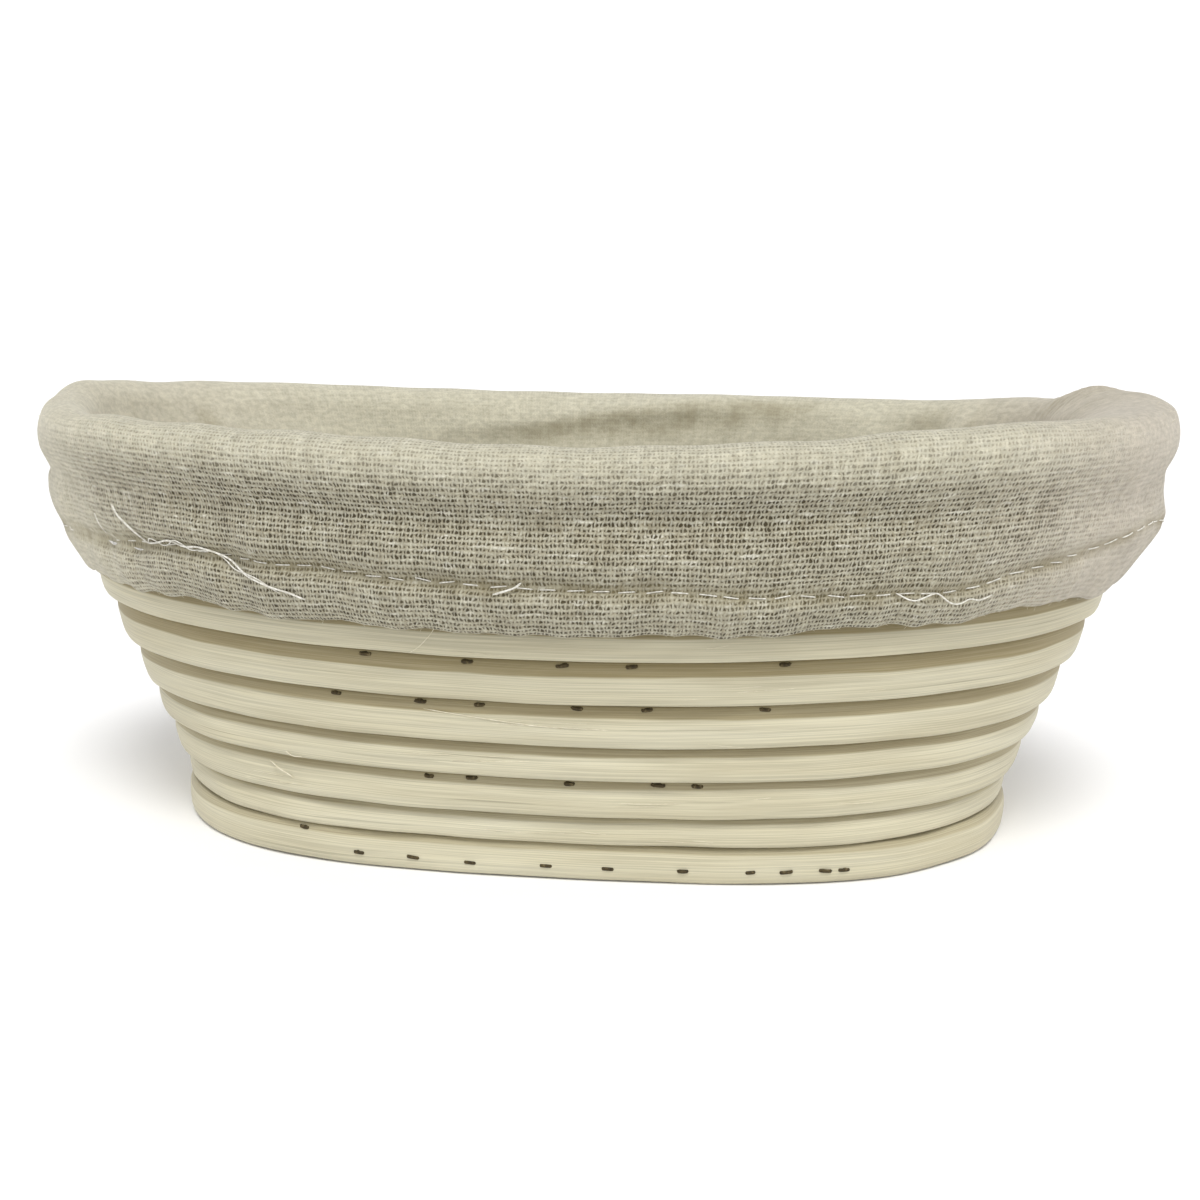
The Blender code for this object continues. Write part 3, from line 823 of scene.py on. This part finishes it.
def build_bottom_panel(linen):
    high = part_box("liner_base_panel")[1]
    rings = 46
    columns = 360
    share = np.linspace(1.0, 0.02, rings)[:, None]
    angles, _ = even_angles(columns, BASE_RING_HEIGHT)
    x, y = (part * share for part in oval_xy(BASE_CORE, high.x - BASE_CORE[0], angles))
    u = np.arange(columns) / columns
    sag = ripples(x / 0.2, 9, (1, 3), 61, y / 0.1, (0.5, 2.0)) * 0.30
    puckers = ripples(u, 8, (8, 30), 62) * smooth(share, 0.88, 1.0) * 0.35
    points = stacked(x, y, high.z + (sag + puckers).clip(-0.4, 1.2) * MM)
    uv = points[..., :2] / MM / WEFT_PITCH
    mesh = grid_mesh("liner_bottom", points, np.hstack([uv, uv[:, :1]]), linen)
    float_attribute(mesh, "open_weave", np.full((rings, columns), 0.35))
    fill_rings(mesh, range((rings - 1) * columns, rings * columns))
    piece = add_object("liner_bottom", mesh, "liner")
    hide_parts("liner_base_panel")


# ---------------------------------------------------------------- threads and fibres
def tube_parts(route, radius, sides, first):
    """Points and faces of a tube along a route, numbered from first, tapered at the ends."""
    route = np.asarray(route, float)
    tangent = np.gradient(route, axis=0)
    tangent /= np.linalg.norm(tangent, axis=1)[:, None]
    side = np.cross(tangent, (0.31, 0.27, 0.91))
    side /= np.linalg.norm(side, axis=1)[:, None]
    up = np.cross(side, tangent)
    turn = np.arange(sides) / sides * TAU
    count = len(route)
    taper = np.minimum(np.minimum(np.arange(count), np.arange(count)[::-1]) / 1.5 + 0.35, 1.0)
    circle = np.cos(turn)[:, None] * side[:, None] + np.sin(turn)[:, None] * up[:, None]
    points = route[:, None] + circle * (radius * taper)[:, None, None]
    faces = [[first + a * sides + b % sides
              for a, b in ((i, j), (i, j + 1), (i + 1, j + 1), (i + 1, j))]
             for i in range(count - 1) for j in range(sides)]
    faces.append([first + j for j in reversed(range(sides))])
    faces.append([first + (count - 1) * sides + j for j in range(sides)])
    return points.reshape(-1, 3), faces


def add_tubes(name, routes, radius, material, body, sides=6):
    """One piece made of a tube along each route. radius may be a number for each."""
    radii = np.broadcast_to(radius, (len(routes),))
    points = np.empty((0, 3))
    faces = []
    for route, size in zip(routes, radii):
        new_points, new_faces = tube_parts(route, size, sides, len(points))
        points = np.concatenate([points, new_points])
        faces += new_faces
    return add_object(name, new_mesh(name, points, faces, material), body)


def smooth_route(knots, per_knot):
    """Knots of any dimension, joined by a Catmull-Rom curve."""
    return path_point(knots, np.linspace(0, len(knots) - 1, per_knot * (len(knots) - 1) + 1))


def loose_thread(knots):
    """Route over the cuff through knots of (degrees, height and lift in mm)."""
    line = smooth_route(knots, 5)
    u = np.interp(np.radians(line[:, 0]) % TAU, FINE_ANGLES, FINE_SHARES)
    s = S_STITCH + (line[:, 1] - SIDE_PATH[STITCH][1]) * 1.02
    return liner_points(u, s, line[:, 2] * MM)


def build_hem_stitching(thread):
    rng = np.random.default_rng(71)
    count = 128
    routes = []
    for i in range(count):
        start = (i + rng.uniform(-0.06, 0.06)) / count
        span = rng.uniform(0.74, 0.88) / count
        u = start + np.linspace(0, span, 7)
        tilt = rng.uniform(-0.35, 0.35)
        angle = np.interp(u % 1, FINE_SHARES, FINE_ANGLES)
        s = stitch_place(u, angle) + tilt * np.linspace(-1, 1, 7) + rng.uniform(-0.1, 0.1)
        lift = np.array([-0.30, 0.06, 0.18, 0.22, 0.18, 0.06, -0.30])
        routes.append(liner_points(u, s, (lift - 0.45 * near_angle(angle, -134, 9)) * MM))
    piece = add_tubes("hem_stitches", routes, 0.13 * MM, thread, "liner")
    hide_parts("hem_thread")


def build_loose_threads(thread):
    left = [(-123.6, 71.2, 0.5), (-122.8, 68.9, 0.9), (-121.4, 66.6, 0.6), (-119.9, 64.4, 0.5),
            (-117.9, 64.5, 0.8), (-115.6, 65.5, 0.5), (-113.8, 64.9, 0.8), (-111.8, 65.4, 0.5),
            (-109.5, 64.2, 0.9), (-107.5, 61.9, 0.6), (-105.7, 60.4, 0.8), (-104.3, 59.4, 0.5),
            (-103.0, 58.2, 0.9)]
    strand = [(-119.6, 64.2, 0.4), (-118.3, 65.3, 0.8), (-117.2, 64.2, 0.5), (-116.0, 64.6, 0.9),
              (-114.6, 65.9, 0.5), (-113.2, 64.6, 0.9), (-112.0, 64.8, 0.5), (-110.6, 65.0, 0.9),
              (-108.8, 62.6, 0.5), (-106.6, 61.6, 0.8), (-104.8, 59.2, 0.5)]
    tail = [(-129.2, 68.4, 0.5), (-128.8, 66.4, 0.8), (-129.3, 64.2, 0.5)]
    knot = [(-92.2, 61.6, 0.4), (-91.3, 62.7, 0.9), (-90.8, 63.9, 0.5)]
    squiggle = [(-69.4, 60.2, 0.5), (-68.4, 59.0, 0.8), (-67.6, 58.8, 0.5), (-66.8, 59.7, 0.9),
                (-65.7, 60.1, 0.5), (-64.4, 58.6, 0.8), (-63.3, 58.1, 0.5), (-62.3, 58.9, 0.9),
                (-61.0, 58.3, 0.5), (-59.6, 58.6, 0.4)]
    routes = [loose_thread(knots) for knots in (left, strand, tail, knot, squiggle)]
    radii = np.array([0.20, 0.13, 0.11, 0.2, 0.15]) * MM
    add_tubes("loose_threads", routes, radii, thread, "liner")


def build_inner_seams(thread):
    """Stitches of the base seam, and overcast stitches up the side seam."""
    rng = np.random.default_rng(72)
    routes = []
    count = 96
    for i in range(count):
        u = (i + np.linspace(0, 0.62, 6)) / count
        s = S_END - 3.0 + rng.uniform(-0.3, 0.3) * np.linspace(-1, 1, 6)
        lift = np.array([-0.3, 0.2, 0.32, 0.32, 0.2, -0.3])
        routes.append(liner_points(u, s, lift * MM))
    base = add_tubes("base_seam_stitches", routes, 0.17 * MM, thread, "liner")
    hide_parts("base_seam_thread")
    routes = []
    for s in np.arange(S_INSIDE + 2.0, S_END - 6.0, 2.6):
        across = np.linspace(-0.0022, 0.0022, 6)
        lift = np.array([-0.3, 0.3, 0.5, 0.5, 0.3, -0.3])
        places = s + np.linspace(-0.9, 0.9, 6) + rng.uniform(-0.15, 0.15)
        routes.append(liner_points(across % 1, places, lift * MM))
    side = add_tubes("side_seam_stitches", routes, 0.16 * MM, thread, "liner")
    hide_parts("side_seam_thread")


def build_fuzz(fibre):
    """Short flax fibres that stand out of the hem, the crest and the open weave."""
    rng = np.random.default_rng(73)
    routes = []
    for _ in range(520):
        zone = rng.choice(3, p=(0.45, 0.15, 0.40))
        s = (rng.normal(S_HEM + 0.5, 1.0), rng.normal(S_CREST - 8, 4),
             rng.uniform(S_HEM + 2, S_CREST))[zone]
        u = rng.uniform(0, 1)
        reach = rng.uniform(0.5, 1.6)
        bend = rng.uniform(-1.2, 1.2)
        steps = np.linspace(0, 1, 4)
        routes.append(liner_points(
            u + steps * bend / (LINER_GIRTH / MM), s + rng.uniform(-0.8, 0.8) * steps,
            (steps - 0.15) * reach * rng.uniform(0.2, 0.8) * MM))
    add_tubes("linen_fuzz", routes, 0.035 * MM, fibre, "liner", sides=3)


# ---------------------------------------------------------------- staples and splinters
def front_angle(x_place, height, place=wall_place):
    """Normal angle of the front point at a place along X."""
    angles = np.linspace(-math.pi, 0, 4001)
    return float(np.interp(x_place, place(angles, 0.0, height)[:, 0], angles))


def wire_points(length, rng):
    """Staple crown with its legs bent in: points (inwards, along), in mm."""
    half = length / 2
    rise = rng.uniform(0.02, 0.10)
    return np.array([(1.3, -half + 0.02), (0.45, -half), (0.08, -half + 0.16), (0.0, -half + 0.45),
                     (-rise, 0.0), (0.0, half - 0.45), (0.08, half - 0.16), (0.45, half),
                     (1.3, half - 0.02)]) * MM


def build_staples(steel):
    """A bent wire over a torn dark pit, in the place of each CAD staple."""
    rng = np.random.default_rng(81)
    for name in sorted(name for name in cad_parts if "_staple_" in name):
        low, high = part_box(name)
        centre = (low + high) / 2
        on_ring = name.startswith("ring") or name.startswith("turn_00")
        place = ring_place if on_ring else wall_place
        angle = front_angle(centre.x, centre.z, place)
        length = rng.uniform(1.7, 2.5)
        tilt = rng.uniform(-0.12, 0.12)
        out = Vector((math.cos(angle), math.sin(angle), 0))
        along = Vector((-math.sin(angle), math.cos(angle), 0))
        along = (along + Vector((0, 0, tilt))).normalized()
        up = out.cross(along)
        face = surface_offset(name, on_ring)
        middle = Vector(place(np.array(angle), face, np.array(centre.z)).tolist())
        middle.z = centre.z + rng.uniform(-0.15, 0.15) * MM
        wire = [middle - out * inward + along * side + out * 0.10 * MM
                for inward, side in wire_points(length, rng)]
        points, faces = tube_parts(wire, 0.27 * MM, 8, 0)
        flat = np.asarray(up)
        lifted = points - np.asarray(middle)
        points = points + np.outer(lifted @ flat, flat) * 0.35
        pit_points, pit_faces = pit_parts(middle, out, along, up, length, rng, len(points))
        mesh = new_mesh(f"wire_{name}", np.concatenate([points, pit_points]),
                        faces + pit_faces, steel)
        piece = add_object(f"wire_{name}", mesh, "basket")
        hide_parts(name)


def surface_offset(name, on_ring):
    """Offset of the cane's outer face at a staple's height."""
    if name.startswith("ring"):
        return -RING_INSET + 0.10 * MM
    if on_ring:
        return -RING_INSET - 0.30 * MM
    return -SIDE_STEP * 0.93 + 0.10 * MM


def pit_parts(middle, out, along, up, length, rng, first):
    """A low ragged dome round the wire, the torn and stained cane at a staple."""
    count = 18
    turns = np.arange(count) / count * TAU
    reach = 1 + 0.22 * np.sin(turns * 3 + rng.uniform(0, TAU)) + rng.uniform(-0.15, 0.15, count)
    wide = (length / 2 + 0.15) * MM * reach
    tall = rng.uniform(0.36, 0.50) * MM * reach

    def ring(share, rise):
        return [middle + along * (share * wide[i] * math.cos(turns[i]))
                + up * (share * tall[i] * math.sin(turns[i])) + out * rise * MM
                for i in range(count)]

    points = np.array(ring(1.0, -0.20) + ring(0.7, 0.07) + [middle + out * 0.09 * MM])
    faces = []
    for i in range(count):
        j = (i + 1) % count
        faces.append([first + i, first + j, first + count + j, first + count + i])
        faces.append([first + count + i, first + count + j, first + 2 * count])
    return points, faces


def build_splinters(fibre):
    """Long slivers and short frays that have lifted from the canes."""
    rng = np.random.default_rng(91)

    def sliver(turn, start, end, share, slope, lift, bow):
        steps = np.linspace(0, 1, 14)
        low, high = TURN_BOTTOMS[turn - 1], TURN_BOTTOMS[turn]
        height = low + (high - low) * (share + slope * steps)
        angle = np.array([front_angle((start + (end - start) * t) * MM, z)
                          for t, z in zip(steps, height)])
        step_in = SIDE_STEP * np.clip(share + slope * steps, 0, 1) * 0.9
        offset = 0.38 * MM - step_in + lift * MM * np.sin(np.pi * steps) ** 2
        height = height + bow * MM * np.sin(np.pi * steps)
        return wall_place(angle, offset, height)

    routes = [sliver(*shape) for shape in (
        (4, -25, 4, 0.72, -0.30, 0.18, 0.0), (4, -12, 21, 0.50, -0.10, 0.15, 0.1),
        (4, 8, 25, 0.36, 0.08, 0.22, 0.0), (2, -61, -55, 0.75, -0.35, 0.6, 0.3),
        (3, -56, -52, 0.15, -0.10, 0.6, -0.2), (5, 30, 52, 0.30, 0.10, 0.10, 0.0),
        (3, -20, -4, 0.40, 0.12, 0.10, 0.0), (6, -9, 10, 0.2, 0.1, 0.12, 0.0))]
    radii = [0.09, 0.08, 0.08, 0.12, 0.10, 0.06, 0.06, 0.06]
    for _ in range(26):
        turn = rng.integers(1, 7)
        start = rng.uniform(-75, 70)
        routes.append(sliver(turn, start, start + rng.uniform(4, 16), rng.uniform(0.05, 0.6),
                             rng.uniform(-0.12, 0.12), rng.uniform(0.02, 0.25), 0.0))
        radii.append(rng.uniform(0.03, 0.055))
    add_tubes("cane_slivers", routes, np.array(radii) * MM, fibre, "basket",
              sides=5)
    hair = smooth_route([(-17.5, 60.0, 0.0), (-19.0, 56.5, 1.6), (-21.0, 52.5, 2.2),
                         (-24.0, 49.2, 1.4), (-26.5, 47.4, 0.6)], 6)
    angles = [front_angle(x * MM, z * MM) for x, z, _ in hair]
    strand = wall_place(np.array(angles), hair[:, 2] * MM, hair[:, 1] * MM)
    add_tubes("hem_fray", [strand], 0.06 * MM, fibre, "liner", sides=5)


# ---------------------------------------------------------------- floor, light and camera
CAMERA_DISTANCE = 0.385
CAMERA_HEIGHT = 0.118
CAMERA_AZIMUTH = 0.132        # radians to the right of straight on
CAMERA_PITCH = 0.183
CAMERA_ROLL = 0.006
CAMERA_ASIDE = 0.0017
FOCAL_LENGTH = 51.5
HORIZON_LIGHT = 1.18
OVERHEAD_LIGHT = 0.45
FLOOR_GAP = 0.2 * MM          # keeps the floor clear of the flat underside
SUNS = (("key", (0.11, -0.55, 0.92), 2.03, 22, (1, 1, 1)),
        ("fill_right", (0.90, -0.20, 0.25), 0.70, 70, (1, 0.94, 0.965)),
        ("fill_left", (-0.90, -0.30, 0.25), 0.48, 70, (1, 0.94, 0.965)),
        ("fill_back", (-0.20, 0.85, 0.45), 0.50, 80, (1, 1, 1)))


def add_suns():
    """A broad key from the front and above, and weak fills from the sides and the back."""
    for name, place, strength, spread, colour in SUNS:
        data = bpy.data.lights.new(name, "SUN")
        data.energy = strength
        data.angle = math.radians(spread)
        data.color = colour
        linked(name, data).rotation_euler = Vector(place).to_track_quat("Z", "Y").to_euler()


def studio_world():
    """White round the horizon, dimmer overhead, so that the key light shapes the object."""
    world = bpy.data.worlds.new("studio")
    world.use_nodes = True
    tree = world.node_tree
    direction = tree.nodes.new("ShaderNodeTexCoord")
    parts = tree.nodes.new("ShaderNodeSeparateXYZ")
    span = tree.nodes.new("ShaderNodeMapRange")
    span.interpolation_type = "SMOOTHSTEP"
    for socket, number in zip(span.inputs[1:5], (0.20, 0.50, HORIZON_LIGHT, OVERHEAD_LIGHT)):
        socket.default_value = number
    background = tree.nodes["Background"]
    background.inputs["Color"].default_value = (1, 1, 1, 1)
    tree.links.new(direction.outputs["Generated"], parts.inputs[0])
    tree.links.new(parts.outputs["Z"], span.inputs[0])
    tree.links.new(span.outputs[0], background.inputs["Strength"])
    return world


def add_studio():
    scene = bpy.context.scene
    bpy.ops.mesh.primitive_plane_add(size=6, location=(0, 0, -FLOOR_GAP))
    floor = bpy.context.object
    floor.name = "floor"
    floor.data.materials.append(floor_material())
    scene.world = studio_world()
    add_suns()
    scene.view_settings.view_transform = "Standard"


def add_camera():
    data = bpy.data.cameras.new("camera")
    data.lens = FOCAL_LENGTH
    data.sensor_width = 36
    data.clip_start = 0.01
    camera = linked("camera", data)
    place = Matrix.Translation((CAMERA_ASIDE, -CAMERA_DISTANCE, CAMERA_HEIGHT))
    camera.matrix_world = (Matrix.Rotation(CAMERA_AZIMUTH, 4, "Z") @ place
                           @ Matrix.Rotation(math.pi / 2 - CAMERA_PITCH, 4, "X")
                           @ Matrix.Rotation(CAMERA_ROLL, 4, "Z"))
    bpy.context.scene.camera = camera


def main():
    cane = cane_material()
    linen = linen_material()
    thread = thread_material("cotton_thread", (0.76, 0.745, 0.68), (0.52, 0.50, 0.43))
    elastic = thread_material("elastic_tape", (0.75, 0.74, 0.70), (0.50, 0.49, 0.46))
    fibre = splinter_material()
    for turn in range(1, WALL_TURNS + 1):
        build_turn(turn, cane)
    build_base_ring(cane)
    build_spiral(cane)
    build_staples(staple_material())
    build_splinters(fibre)
    build_liner(linen)
    build_bottom_panel(linen)
    build_hem_stitching(thread)
    build_loose_threads(thread)
    build_inner_seams(thread)
    build_fuzz(fibre)
    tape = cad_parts["cuff_elastic"]
    tape.data.materials.clear()
    tape.data.materials.append(elastic)
    add_studio()
    add_camera()


main()
